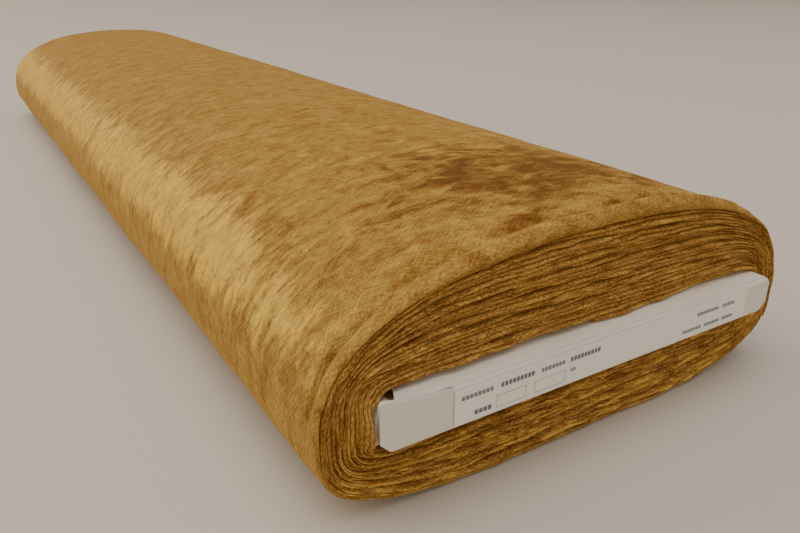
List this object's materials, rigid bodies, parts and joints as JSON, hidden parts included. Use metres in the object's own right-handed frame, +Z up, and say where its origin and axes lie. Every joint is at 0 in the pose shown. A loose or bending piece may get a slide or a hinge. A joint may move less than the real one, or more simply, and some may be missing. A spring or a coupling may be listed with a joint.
{
  "type": "fabric bolt",
  "caption": "Bolt of gold crushed velvet, folded once and wound flat on a white board sleeve with hinged end closures.",
  "frame": {"origin": "bottom centre of the bolt, on the surface it lies on", "axes": "+Y along the bolt, away from the labelled end; +X across it, towards the cloth's loose end; +Z up through the flat winding"},
  "size_m": [0.2124, 0.7689, 0.0847],
  "materials": {
    "velvet": "crushed velvet pile, antique gold",
    "white_board": "matt white-lined corrugated board",
    "kraft_board": "matt brown kraft board",
    "paper": "smooth label paper",
    "tape": "crepe paper tape"
  },
  "bodies": {
    "root": {"core_sleeve": "white_board", "velvet_roll": "velvet", "start_tape": "tape"},
    "near_closure": {"near_end_flap": "white_board", "label_sticker": "paper"},
    "near_tab": {"near_tuck_tab": "kraft_board"},
    "near_left_dust": {"near_dust_flap_left": "kraft_board"},
    "near_right_dust": {"near_dust_flap_right": "kraft_board"},
    "far_closure": {"far_end_flap": "white_board"},
    "far_tab": {"far_tuck_tab": "kraft_board"},
    "far_left_dust": {"far_dust_flap_left": "kraft_board"},
    "far_right_dust": {"far_dust_flap_right": "kraft_board"},
    "cloth_end": {"velvet_tail": "velvet"}
  },
  "joints": [
    {"name": "near_closure_hinge", "type": "hinge", "parent": "root", "child": "near_closure", "pos_m": [0, -0.3842, 0.0442], "axis": [-1, 0, 0], "range_deg": [0, 100]},
    {"name": "near_tab_fold", "type": "hinge", "parent": "near_closure", "child": "near_tab", "pos_m": [0, -0.3827, 0.0319], "axis": [-1, 0, 0], "range_deg": [-75, 0]},
    {"name": "near_left_dust_fold", "type": "hinge", "parent": "root", "child": "near_left_dust", "pos_m": [-0.089, -0.3808, 0.0372], "axis": [0, 0, 1], "range_deg": [0, 85]},
    {"name": "near_right_dust_fold", "type": "hinge", "parent": "root", "child": "near_right_dust", "pos_m": [0.089, -0.3808, 0.0372], "axis": [0, 0, -1], "range_deg": [0, 85]},
    {"name": "far_closure_hinge", "type": "hinge", "parent": "root", "child": "far_closure", "pos_m": [0, 0.3842, 0.0442], "axis": [1, 0, 0], "range_deg": [0, 100]},
    {"name": "far_tab_fold", "type": "hinge", "parent": "far_closure", "child": "far_tab", "pos_m": [0, 0.3827, 0.0319], "axis": [1, 0, 0], "range_deg": [-75, 0]},
    {"name": "far_left_dust_fold", "type": "hinge", "parent": "root", "child": "far_left_dust", "pos_m": [0.089, 0.3808, 0.0372], "axis": [0, 0, 1], "range_deg": [0, 85]},
    {"name": "far_right_dust_fold", "type": "hinge", "parent": "root", "child": "far_right_dust", "pos_m": [-0.089, 0.3808, 0.0372], "axis": [0, 0, -1], "range_deg": [0, 85]},
    {"name": "cloth_end_lift", "type": "hinge", "parent": "root", "child": "cloth_end", "pos_m": [0.0882, 0, 0.0657], "axis": [0, -1, 0], "range_deg": [0, 60]}
  ],
  "couplings": [
    {"joint": "near_tab_fold", "follows": "near_closure_hinge", "ratio": -0.75},
    {"joint": "far_tab_fold", "follows": "far_closure_hinge", "ratio": -0.75}
  ]
}
